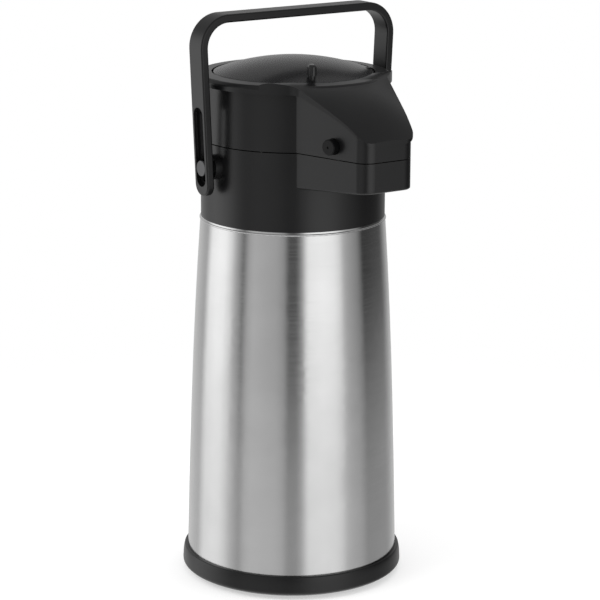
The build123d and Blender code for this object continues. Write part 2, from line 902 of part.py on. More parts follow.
def press_plate():
    """Plate that passes the dome's push to the bellows and centres the spring."""
    spigot = disc(spring_r - spring_wire * 2, plate_z - 2 * plate_h, plate_z)
    return disc(plate_r, plate_z, plate_top) + spigot


def lock_knob():
    """Oval finger tab on a stem, with the tongue that turns out under the lid to block the dome."""
    low = dome_z_at(lock_r) + lock_gap
    tab = extrude(Pos(0, 0, low) * SlotOverall(lock_len, lock_w, rotation=90), lock_h)
    tab = fillet(tab.faces().sort_by(Axis.Z)[-1].edges(), lock_w / 3)
    stem = disc(lock_stem_r, tongue_z, low + lock_h / 2)
    arm = Pos((tongue_tip - tongue_heel) / 2, 0, tongue_z + tongue_h / 2)
    arm = arm * Box(tongue_tip + tongue_heel, tongue_w, tongue_h)
    return lock_place() * (tab + stem + arm)


def lid_floor():
    """Floor of the lid, with the air hole and two arms that guide the latch stems."""
    plate = disc(floor_r, floor_z, floor_top)
    root = floor_r - beyond
    arm = Pos((ear_in + ear_out) / 2, -(root + arm_end) / 2, floor_z + floor_h / 2)
    arm = arm * Box(ear_out - ear_in, arm_end - root, floor_h)
    guide = Pos(ear_out - guide_t / 2, -button_along, (floor_z + guide_top) / 2)
    guide = guide * Box(guide_t, guide_w, guide_top - floor_z)
    plate = plate + both_sides(arm + guide) - disc(air_hole_r, floor_z - 1, floor_top + 1)
    plate = plate - [wall_rod(side, stem_r + run, -button_along, -2 * lid_t) for side in (-1, 1)]
    holes = [place * disc(screw_r + seat, floor_z - 1, floor_top + 1) for place in screw_places()]
    return plate - holes


def bellows():
    """Rubber bellows between the lid floor and the press plate."""
    low = floor_top
    pitch = (plate_z - low) / pleats
    outer = []
    inner = []
    for k in range(pleats):
        z = low + k * pitch
        outer += [(bellows_in + bellows_t, z), (bellows_r, z + pitch / 2)]
        inner += [(bellows_in, z), (bellows_r - bellows_t, z + pitch / 2)]
    outer.append((bellows_in + bellows_t, plate_z))
    inner.append((bellows_in, plate_z))
    return lathe(outer + inner[::-1])


def coil(radius, wire, height, turns):
    """Open helical spring that stands on z = 0."""
    pitch = (height - 2 * wire) / turns
    path = Helix(pitch, pitch * turns, radius)
    section = Plane(origin=path @ 0, z_dir=path % 0) * Circle(wire)
    return Pos(0, 0, wire) * sweep(section, path)


def return_spring():
    return Pos(0, 0, floor_top) * coil(spring_r, spring_wire, plate_z - floor_top - 2 * seat, spring_turns)


def stopper():
    """Hollow plug under the lid floor that closes the neck."""
    wall_in = stopper_wall_r - stopper_t
    cup = lathe(
        [
            (0, stopper_z),
            (stopper_r, stopper_z),
            (stopper_top_r, flange_z),
            (stopper_flange_r, flange_z),
            (stopper_flange_r, flange_z + stopper_t),
            (stopper_wall_r, flange_z + stopper_t),
            (stopper_wall_r, floor_z),
            (wall_in, floor_z),
            (wall_in, flange_z + stopper_t),
            (stopper_top_r - stopper_t, flange_z + stopper_t),
            (stopper_r - stopper_t, stopper_floor),
            (0, stopper_floor),
        ]
    )
    hole = Pos(valve_hole_at, 0, stopper_z) * Cylinder(valve_hole_r, 2 * beyond)
    holes = [Rot(0, 0, 45 + 90 * k) * hole for k in range(4)]
    stem = Pos(0, 0, stopper_z) * Cylinder(valve_stem_r + seat, 2 * beyond)
    tube_hole = Pos(0, tube_y, stopper_z) * Cylinder(tube_r + sleeve_t + seat, 2 * beyond)
    pipe_hole = Pos(0, -stopper_wall_r, pipe_low_z) * Rot(90, 0, 0) * Cylinder(tube_r + run, 2 * beyond)
    return cup - holes - stem - tube_hole - pipe_hole


def stopper_gasket():
    """Rubber ring that seals on the top of the neck nut."""
    z0 = nut_top + run
    inner = neck_r - steel_t - 4 * seat
    web = stopper_gasket_h * 0.4
    return lathe(
        [
            (stopper_top_r + seat, flange_z - web),
            (inner, flange_z - web),
            (inner, z0),
            (stopper_flange_r - 1.0, z0),
            (stopper_flange_r, flange_z),
            (stopper_top_r + seat, flange_z),
        ],
        [0, 0, stopper_gasket_h * 0.2, stopper_gasket_h * 0.3, 0, 0],
    )


def air_valve():
    """Rubber disc valve over the air holes of the stopper."""
    flap = disc(valve_r, stopper_floor, stopper_floor + 1.0)
    return flap + disc(valve_stem_r, stopper_z - 4 * seat, stopper_floor + 0.5)


def tube_grommet():
    """Rubber sleeve that joins the dip tube to the outlet pipe."""
    sleeve = tube(tube_r + sleeve_t, tube_r - tube_t, seat_top + 2 * run, stopper_floor + 2 * sleeve_t)
    seat_bore = disc(tube_r + seat, stopper_floor, stopper_floor + 3 * sleeve_t)
    rim = tube(tube_r + 2 * sleeve_t, tube_r + sleeve_t / 3, stopper_floor, stopper_floor + sleeve_t)
    return Pos(0, tube_y, 0) * (sleeve + rim - seat_bore)


def outlet_pipe():
    """Pipe from the stopper, forward and over a hump in the nose, then down to the nozzle."""
    route = [
        (0, tube_y, stopper_floor),
        (0, tube_y, pipe_low_z),
        (0, -nose_root, pipe_low_z),
        (0, -nose_root - pipe_run, pipe_high_z),
        (0, -mouth_along, pipe_high_z),
        (0, -mouth_along, nozzle_z + nozzle_h / 4),
    ]
    path = FilletPolyline(*route, radius=pipe_bend)
    start = Plane(origin=route[0], z_dir=(0, 0, 1))
    return sweep(start * Circle(tube_r), path) - sweep(start * Circle(tube_r - tube_t), path)


def spout_nozzle():
    """Sleeve on the end of the pipe that points down through the nose."""
    step = nozzle_z + nozzle_h / 4
    ring = lathe(
        [
            (tube_r - tube_t, nozzle_z),
            (nozzle_r - 0.8, nozzle_z),
            (nozzle_r, step),
            (nozzle_r, nozzle_z + nozzle_h),
            (tube_r + seat, nozzle_z + nozzle_h),
            (tube_r + seat, step),
            (tube_r - tube_t, step),
        ]
    )
    return Pos(0, -mouth_along, 0) * ring


def release_button(side):
    """Round push button with its flange behind the nose wall and its guide stem."""
    behind = -lid_t - run
    head = wall_rod(side, button_r, behind - button_flange_t / 2, button_out)
    outside = wall_plane(side).origin + wall_plane(side).z_dir * 4 * button_out
    head = fillet(head.edges().sort_by_distance(outside)[:1], button_flange_t / 2)
    flange = wall_rod(side, button_flange_r, behind - button_flange_t, behind)
    stem = wall_rod(side, stem_r, behind - stem_len, behind - button_flange_t / 2)
    dimple = wall_rod(side, button_r / 6, button_out - 0.5, button_out + 1)
    return head + flange + stem - dimple


def latch_hook(side):
    """Arm behind a button that reaches down into the collar's nose and clicks past its catch."""
    behind = -lid_t - run - button_flange_t
    low = hook_z - button_z
    arm = wall_box(side, low, button_flange_r, hook_w, behind - hook_t, behind)
    hole = wall_rod(side, stem_r + seat, behind - hook_t - 1, behind + 1)
    tip = wall_box(side, low, catch_z - run - button_z, hook_w, behind - 0.1, -collar_t - catch_t - run)
    return arm + tip - hole


def release_spring(side):
    """Spring on the stem, between the hook and the guide on the lid floor."""
    behind = -lid_t - run - button_flange_t - hook_t - seat
    radius = stem_r + 2 * button_spring_wire + seat
    guide_out = (nose_half_at(button_along) - ear_out) * wall_slant
    length = guide_out + behind - (radius + button_spring_wire) * taper - seat
    spring = coil(radius, button_spring_wire, length, 4)
    return wall_plane(side) * (Pos(0, 0, behind - length) * spring)


def strap(inset):
    """Front outline of the bail, moved in by inset."""
    lean = tan(radians(leg_splay))
    side = inset / cos(radians(leg_splay))
    low = leg_end - beyond
    top = handle_top - inset
    x_low = leg_x + lean * (low - pivot_z) - side
    x_top = leg_x + lean * (top - pivot_z) - side
    points = [(x_low, low), (x_top, top), (-x_top, top), (-x_low, low)]
    radii = [0, handle_corner - inset, handle_corner - inset, 0]
    return make_face(FilletPolyline(*points, radius=radii, close=True).edges())


def leg_plane(side):
    """Plane on the outer face of a leg at the pivot: local z out, local y up the leg."""
    lean = radians(leg_splay)
    outward = (side * cos(lean), 0, -sin(lean))
    return Plane(origin=(side * leg_x, 0, pivot_z), x_dir=(0, side, 0), z_dir=outward)


def leg_slot(side, low, high, width, depth):
    """Round-ended cut from the outer face of a leg."""
    face = Pos(0, (low + high) / 2) * SlotOverall(high - low, width, rotation=90)
    return leg_plane(side) * extrude(Pos(0, 0, -depth) * face, depth + beyond)


def handle():
    """Flat bail: two splayed legs with round ends, each with a recess and a slide slot."""
    end_z = leg_end + strap_w / 2
    top = handle_top + beyond
    side_view = Pos(0, (end_z + top) / 2) * Rectangle(strap_w, top - end_z)
    side_view = side_view + Pos(0, end_z) * Circle(strap_w / 2)
    frame = extrude(Plane.XZ * (strap(0) - strap(strap_t)), strap_w, both=True)
    bail = frame & extrude(Plane.YZ * side_view, leg_x * 2, both=True)
    outer = bail.faces().filter_by(GeomType.PLANE).sort_by(Axis.Y)
    bail = fillet(outer[0].edges() + outer[-1].edges(), strap_edge)
    for side in (-1, 1):
        bail = bail - leg_slot(side, recess_low, recess_high, recess_w, recess_t)
        bail = bail - leg_slot(side, slot_low, slot_high, slot_w, strap_t * 2)
    return bail


def handle_pin(side):
    """Pin through a leg's slot and the collar's boss, with a flush round head."""
    head_out = leg_x - 0.1
    head = cross_rod(pin_head_r, head_out - pin_head_t, head_out, 0, pivot_z)
    head = fillet(head.edges().sort_by(Axis.X)[-1:], pin_head_round)
    shank = cross_rod(pin_r, pin_in, head_out - pin_head_t / 2, 0, pivot_z)
    groove_x = boss_in - run - e_clip_t / 2
    groove = cross_rod(pin_r + 1, groove_x - e_clip_t / 2, groove_x + e_clip_t / 2, 0, pivot_z)
    groove = groove - cross_rod(pin_r - clip_groove, groove_x - 2, groove_x + 2, 0, pivot_z)
    pin = head + shank - groove
    return pin if side > 0 else mirror(pin, Plane.YZ)


def pin_clip(side):
    """E-clip in the groove at the inner end of a handle pin."""
    x = boss_in - run - e_clip_t / 2
    ring = cross_rod(e_clip_r, x - e_clip_t / 2, x + e_clip_t / 2, 0, pivot_z)
    ring = ring - cross_rod(pin_r - clip_groove + seat, x - 2, x + 2, 0, pivot_z)
    gap = Pos(x, 0, pivot_z - e_clip_r) * Box(4 * e_clip_t, e_clip_gap, e_clip_r * 2)
    clip = ring - gap
    return clip if side > 0 else mirror(clip, Plane.YZ)


def handle_washer(side):
    """Plastic washer between a boss and a leg."""
    ring = cross_rod(washer_r, boss_end, boss_end + washer_t, 0, pivot_z)
    ring = ring - cross_rod(pin_r + shaft_run, boss_end - 1, boss_end + 2, 0, pivot_z)
    return ring if side > 0 else mirror(ring, Plane.YZ)


pieces = {
    "turntable": turntable(),
    "foot_ring": foot_ring(),
    "glide_ring": glide_ring(),
    "swivel_clip": swivel_clip(),
    "base_ring": base_ring(),
    "body_shell": body_shell(),
    "bottom_pan": bottom_pan(),
    "vacuum_seal": vacuum_seal(),
    "liner_support": liner_support(),
    "vacuum_liner": vacuum_liner(),
    "liner_shoulder": liner_shoulder(),
    "neck_gasket": neck_gasket(),
    "neck_nut": neck_nut(),
    "collar": collar(),
    "tube_seat": tube_seat(),
    "dip_tube": dip_tube(),
    "hinge_pin": hinge_pin(),
    "lid_shell": lid_shell(),
    "lid_floor": lid_floor(),
    "lid_screws": lid_screws(),
    "bellows": bellows(),
    "return_spring": return_spring(),
    "stopper": stopper(),
    "stopper_gasket": stopper_gasket(),
    "air_valve": air_valve(),
    "tube_grommet": tube_grommet(),
    "outlet_pipe": outlet_pipe(),
    "spout_nozzle": spout_nozzle(),
    "press_dome": press_dome(),
    "press_plate": press_plate(),
    "lock_knob": lock_knob(),
    "handle": handle(),
}
for side, word in ((-1, "left"), (1, "right")):
    pieces[f"release_button_{word}"] = release_button(side)
    pieces[f"latch_hook_{word}"] = latch_hook(side)
    pieces[f"release_spring_{word}"] = release_spring(side)
    pieces[f"handle_pin_{word}"] = handle_pin(side)
    pieces[f"pin_clip_{word}"] = pin_clip(side)
    pieces[f"handle_washer_{word}"] = handle_washer(side)

os.makedirs("parts", exist_ok=True)
for name, solid in pieces.items():
    export_step(solid, f"parts/{name}.step")
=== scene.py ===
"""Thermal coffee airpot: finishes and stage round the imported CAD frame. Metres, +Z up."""

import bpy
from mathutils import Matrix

bl_info = {
    "name": "Thermal coffee airpot",
    "version": (1, 0, 0),
    "blender": (4, 5, 0),
    "location": "View3D > Sidebar > Airpot",
    "description": "Finishes of a stainless steel airpot with a black moulded head, and its studio stage",
    "category": "Object",
}

import bpy
import numpy as np
from mathutils import Matrix, Vector

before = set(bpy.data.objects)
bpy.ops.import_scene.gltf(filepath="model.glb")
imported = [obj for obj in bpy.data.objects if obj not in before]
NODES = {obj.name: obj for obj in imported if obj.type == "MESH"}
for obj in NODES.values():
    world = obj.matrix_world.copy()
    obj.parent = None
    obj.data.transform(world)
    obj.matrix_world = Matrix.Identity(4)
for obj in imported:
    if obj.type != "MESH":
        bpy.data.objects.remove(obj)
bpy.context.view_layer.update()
MM = 0.001


# ---------------------------------------------------------------- helpers


def linear(hex_colour):
    """sRGB hex to linear RGBA: c / 12.92 up to 0.04045, above it ((c + 0.055) / 1.055) ** 2.4."""
    rgb = [int(hex_colour[i : i + 2], 16) / 255 for i in (1, 3, 5)]
    return tuple(c / 12.92 if c <= 0.04045 else ((c + 0.055) / 1.055) ** 2.4 for c in rgb) + (1.0,)


def add(tree, kind, settings=None, links=None):
    """Adds one node, sets its sockets or attributes, and links its inputs to other nodes' outputs."""
    node = tree.nodes.new(kind)
    for name, value in (settings or {}).items():
        if isinstance(name, int) or name in node.inputs:
            node.inputs[name].default_value = value
        else:
            setattr(node, name, value)
    for name, output in (links or {}).items():
        tree.links.new(output, node.inputs[name])
    return node


def new_material(name):
    """An empty node material and its tree."""
    material = bpy.data.materials.new(name)
    material.use_nodes = True
    material.node_tree.nodes.clear()
    return material, material.node_tree


def grain(tree, size, detail=2.0, stretch=(1, 1, 1)):
    """Noise whose lumps are about size metres across, on Object coordinates."""
    place = add(tree, "ShaderNodeTexCoord")
    turned = add(tree, "ShaderNodeMapping", {"Scale": stretch}, {"Vector": place.outputs["Object"]})
    vector = {"Vector": turned.outputs["Vector"]}
    return add(tree, "ShaderNodeTexNoise", {"Scale": 1 / size, "Detail": detail}, vector)


def spread(tree, source, low, high):
    """Noise stretched from its middle third to the range low..high."""
    return add(
        tree,
        "ShaderNodeMapRange",
        {"From Min": 0.33, "From Max": 0.67, "To Min": low, "To Max": high},
        {"Value": source.outputs["Fac"]},
    )


def tone(tree, source, colour, share):
    """The colour, a share darker where the noise is low and a share lighter where it is high."""
    dark = tuple(c * (1 - share) for c in colour[:3]) + (1,)
    light = tuple(min(1, c * (1 + share)) for c in colour[:3]) + (1,)
    return add(
        tree,
        "ShaderNodeMix",
        {"data_type": "RGBA", 6: dark, 7: light},
        {0: spread(tree, source, 0, 1).outputs[0]},
    )


def moulded(name, colour, roughness, grain_size, depth, specular=0.5, subsurface=0.0):
    """Injection moulded plastic: an even colour with a faint flow mottle and a fine spark-eroded skin."""
    material, tree = new_material(name)
    flow = grain(tree, 22 * MM)
    skin = grain(tree, grain_size, 3.0)
    bump = add(tree, "ShaderNodeBump", {"Strength": 0.5, "Distance": depth}, {"Height": skin.outputs["Fac"]})
    shader = add(
        tree,
        "ShaderNodeBsdfPrincipled",
        {
            "IOR": 1.49,
            "Specular IOR Level": specular,
            "Subsurface Weight": subsurface,
            "Subsurface Scale": 2 * MM,
        },
        {
            "Base Color": tone(tree, flow, colour, 0.08).outputs[2],
            "Roughness": spread(tree, skin, roughness - 0.012, roughness + 0.012).outputs[0],
            "Normal": bump.outputs["Normal"],
        },
    )
    add(tree, "ShaderNodeOutputMaterial", links={"Surface": shader.outputs["BSDF"]})
    return material


def brushed(name, colour, roughness, anisotropy, line, depth):
    """Steel brushed round its axis: long fine lines level with the floor, so highlights draw out upright."""
    material, tree = new_material(name)
    lines = grain(tree, line, 2.0, stretch=(0.012, 0.012, 1))
    cloud = grain(tree, 35 * MM)
    tangent = add(tree, "ShaderNodeTangent", {"direction_type": "RADIAL", "axis": "Z"})
    height = {"Height": lines.outputs["Fac"]}
    bump = add(tree, "ShaderNodeBump", {"Strength": 0.35, "Distance": depth}, height)
    shader = add(
        tree,
        "ShaderNodeBsdfPrincipled",
        {"Metallic": 1.0, "Anisotropic": anisotropy, "Anisotropic Rotation": 0.25},
        {
            "Base Color": tone(tree, cloud, colour, 0.03).outputs[2],
            "Roughness": spread(tree, lines, roughness - 0.04, roughness + 0.04).outputs[0],
            "Normal": bump.outputs["Normal"],
            "Tangent": tangent.outputs["Tangent"],
        },
    )
    add(tree, "ShaderNodeOutputMaterial", links={"Surface": shader.outputs["BSDF"]})
    return material


def plain_metal(name, colour, roughness, grain_size):
    """Drawn or turned metal: a fine random finish, a little uneven in gloss."""
    material, tree = new_material(name)
    marks = grain(tree, grain_size, 3.0)
    height = {"Height": marks.outputs["Fac"]}
    bump = add(tree, "ShaderNodeBump", {"Strength": 0.2, "Distance": 0.02 * MM}, height)
    shader = add(
        tree,
        "ShaderNodeBsdfPrincipled",
        {"Metallic": 1.0},
        {
            "Base Color": tone(tree, marks, colour, 0.05).outputs[2],
            "Roughness": spread(tree, marks, roughness - 0.05, roughness + 0.05).outputs[0],
            "Normal": bump.outputs["Normal"],
        },
    )
    add(tree, "ShaderNodeOutputMaterial", links={"Surface": shader.outputs["BSDF"]})
    return material


def dress(material, *names):
    """Gives CAD nodes one material."""
    for name in names:
        mesh = NODES[name].data
        mesh.materials.clear()
        mesh.materials.append(material)


# ---------------------------------------------------------------- sizes and colours


class PlasticSettings(bpy.types.PropertyGroup):
    black: bpy.props.FloatVectorProperty(
        name="Black", description="Carbon black polypropylene of the head, base and handle",
        subtype="COLOR", size=4, default=linear("#0c0c0d"), min=0, max=1,
    )
    dome_black: bpy.props.FloatVectorProperty(
        name="Dome black", description="Slightly glossier black of the press dome",
        subtype="COLOR", size=4, default=linear("#161617"), min=0, max=1,
    )
    natural: bpy.props.FloatVectorProperty(
        name="Natural", description="Uncoloured polypropylene of the inner parts",
        subtype="COLOR", size=4, default=linear("#cfcdc6"), min=0, max=1,
    )
    grain_size: bpy.props.FloatProperty(
        name="Skin grain",
        description="Width of one lump of the eroded skin, drawn coarser than the real 0.2 mm",
        subtype="DISTANCE", unit="LENGTH", default=0.7 * MM, min=0.05 * MM,
    )


class SteelSettings(bpy.types.PropertyGroup):
    body: bpy.props.FloatVectorProperty(
        name="Body steel", description="Brushed 18/8 stainless steel", subtype="COLOR", size=4,
        default=linear("#cdcdcd"), min=0, max=1,
    )
    liner: bpy.props.FloatVectorProperty(
        name="Liner steel", description="Drawn stainless steel of the bottle and pan",
        subtype="COLOR", size=4, default=linear("#c3c2bf"), min=0, max=1,
    )
    brush_line: bpy.props.FloatProperty(
        name="Brush line", description="Height of one brushing line, drawn coarser than the real 0.1 mm",
        subtype="DISTANCE", unit="LENGTH", default=0.5 * MM, min=0.05 * MM,
    )


class StageSettings(bpy.types.PropertyGroup):
    azimuth: bpy.props.FloatProperty(
        name="View azimuth", description="Direction of the camera round the pot, in degrees", default=-34.797,
    )
    elevation: bpy.props.FloatProperty(
        name="View elevation", description="Camera's angle above the floor, in degrees", default=14.085,
    )
    distance: bpy.props.FloatProperty(
        name="Distance", description="Camera to the point it looks at", subtype="DISTANCE", unit="LENGTH",
        default=1.761,
    )
    lens: bpy.props.FloatProperty(name="Lens", description="Focal length in millimetres", default=150.8)
    roll: bpy.props.FloatProperty(
        name="Roll", description="Turn of the camera about its own axis, in degrees", default=0.28,
    )
    aim: bpy.props.FloatVectorProperty(
        name="Aim", description="Point that the camera looks at", subtype="TRANSLATION", unit="LENGTH",
        default=(4.42 * MM, -2.88 * MM, 194.5 * MM),
    )
    card_radius: bpy.props.FloatProperty(
        name="Card radius", description="Soft boxes and cards stand this far from the pot's axis",
        subtype="DISTANCE", unit="LENGTH", default=1.0,
    )
    floor_radius: bpy.props.FloatProperty(
        name="Floor radius", description="Where the floor has faded into the white surround",
        subtype="DISTANCE", unit="LENGTH", default=0.62,
    )


# ---------------------------------------------------------------- pieces


class AIRPOT_OT_black_mouldings(bpy.types.Operator):
    """Moulded black head, base ring, handle and buttons"""

    bl_idname = "airpot.black_mouldings"
    bl_label = "Black mouldings"

    def execute(self, context):
        s = context.scene.airpot_plastic
        # polypropylene with carbon black: satin, soft-edged highlights
        body = moulded("moulded black polypropylene", s.black, 0.34, s.grain_size, 0.012 * MM, specular=0.46)
        dome = moulded("moulded black ABS", s.dome_black, 0.27, s.grain_size, 0.002 * MM, specular=0.55)
        dress(body, "collar", "lid_shell", "base_ring", "handle", "lid_floor", "spout_nozzle", "turntable")
        dress(body, "neck_nut", "stopper", "handle_washer_left", "handle_washer_right")
        # acetal with carbon black: duller than the head
        button = moulded("moulded black acetal", s.black, 0.42, s.grain_size, 0.008 * MM, specular=0.2)
        dress(dome, "press_dome", "lock_knob")
        dress(button, "release_button_left", "release_button_right")
        return {"FINISHED"}


class AIRPOT_OT_pale_mouldings(bpy.types.Operator):
    """Inner mouldings in natural plastic"""

    bl_idname = "airpot.pale_mouldings"
    bl_label = "Inner mouldings"

    def execute(self, context):
        s = context.scene.airpot_plastic
        # uncoloured polypropylene: milky, a little see-through at its edges
        natural = moulded("natural polypropylene", s.natural, 0.42, 1.2 * MM, 0.02 * MM, subsurface=0.15)
        # acetal: harder and slicker than polypropylene
        acetal = moulded("moulded white acetal", linear("#e4e3de"), 0.3, 1.0 * MM, 0.01 * MM, subsurface=0.08)
        # glass-filled polyamide of the pivot pins: a dark grey, a little glossy
        grey = moulded("moulded grey polyamide", linear("#39393b"), 0.3, 1.0 * MM, 0.01 * MM)
        dress(natural, "dip_tube", "outlet_pipe", "tube_seat", "press_plate")
        dress(acetal, "glide_ring", "latch_hook_left", "latch_hook_right")
        dress(grey, "handle_pin_left", "handle_pin_right")
        return {"FINISHED"}


class AIRPOT_OT_soft_parts(bpy.types.Operator):
    """Rubber and silicone parts"""

    bl_idname = "airpot.soft_parts"
    bl_label = "Rubber and silicone parts"

    def execute(self, context):
        # nitrile rubber: matt black
        rubber = moulded("moulded black rubber", linear("#161616"), 0.62, 0.9 * MM, 0.04 * MM, specular=0.35)
        # silicone: milky, waxy gloss
        milky = linear("#d8d6cf")
        silicone = moulded("moulded clear silicone", milky, 0.38, 1.5 * MM, 0.01 * MM, subsurface=0.4)
        dress(rubber, "foot_ring", "bellows")
        dress(silicone, "neck_gasket", "stopper_gasket", "air_valve", "tube_grommet")
        return {"FINISHED"}


class AIRPOT_OT_steel_body(bpy.types.Operator):
    """Brushed outer body, drawn liner and bottom pan"""

    bl_idname = "airpot.steel_body"
    bl_label = "Steel body"

    def execute(self, context):
        s = context.scene.airpot_steel
        # brushed 18/8 stainless steel: bright, with upright soft bands
        body = brushed("brushed stainless steel", s.body, 0.17, 0.7, s.brush_line, 0.006 * MM)
        # deep drawn and electropolished: smooth, slightly cloudy
        liner = plain_metal("drawn stainless steel", s.liner, 0.3, 3 * MM)
        dress(body, "body_shell")
        dress(liner, "vacuum_liner", "liner_shoulder", "bottom_pan", "liner_support", "vacuum_seal")
        dress(liner, "swivel_clip")
        return {"FINISHED"}


class AIRPOT_OT_springs_and_pins(bpy.types.Operator):
    """Springs, pins, clips and screws"""

    bl_idname = "airpot.springs_and_pins"
    bl_label = "Springs and pins"

    def execute(self, context):
        # turned stainless pins: smooth with a soft shine
        pins = plain_metal("turned stainless steel", linear("#bdbcb9"), 0.24, 0.8 * MM)
        # hard drawn spring wire: a little darker
        wire = plain_metal("drawn spring wire", linear("#a9a8a5"), 0.28, 0.6 * MM)
        dress(pins, "hinge_pin", "lid_screws", "pin_clip_left", "pin_clip_right")
        dress(wire, "return_spring", "release_spring_left", "release_spring_right")
        return {"FINISHED"}


# ---------------------------------------------------------------- stage


# soft boxes and dark cards round the pot: degrees to the right of the camera, brightness
CARDS = [
    (-180, 0.6), (-145, 0.62), (-124, 0.5), (-112, 1.3), (-96, 1.45), (-86, 1.4), (-77, 1.05), (-70, 0.6),
    (-59, 0.18), (-52, 0.53), (-45, 0.62), (-18, 0.51), (-10, 0.4), (-4, 0.09), (5, 0.1), (11, 0.42),
    (18, 1.28), (34, 1.38), (48, 1.3), (56, 1.05), (62, 0.62), (68, 0.48), (82, 0.3), (91, 0.04), (130, 0.09),
    (150, 0.45), (180, 0.6),
]
CARD_REACH = 0.9  # metres that the cards rise above the floor and drop below it
VEIL = 0.75  # brightness of the lit table, which veils the low part of every reflection
VEIL_TOP = 0.1  # metres above the floor where the veil starts
VEIL_FADE = 0.32  # metres down to its full share
VEIL_SHARE = 0.47
CEILING = 0.36  # brightness overhead
CEILING_FOOT = 0.5  # metres above the floor where the ceiling's tone starts
CEILING_FADE = 0.4  # metres up to its full share
CEILING_RISE = 0.5  # metres that the ceiling domes up over the cards
ROOM_LIGHT = 0.75  # strength of the surround as light on matt faces
FLOOR_GLOW = 0.5  # what the floor adds where the camera sees it

# soft lamps: name, degrees right of the camera, degrees up, metres away, metres wide, watts
LAMPS = [
    ("key soft box", -62, 38, 1.5, 0.9, 9),
    ("fill soft box", 70, 25, 1.7, 0.8, 4),
    ("overhead soft box", 150, 72, 1.5, 0.9, 5),
]
LAMP_AIM = Vector((0, 0, 0.2))


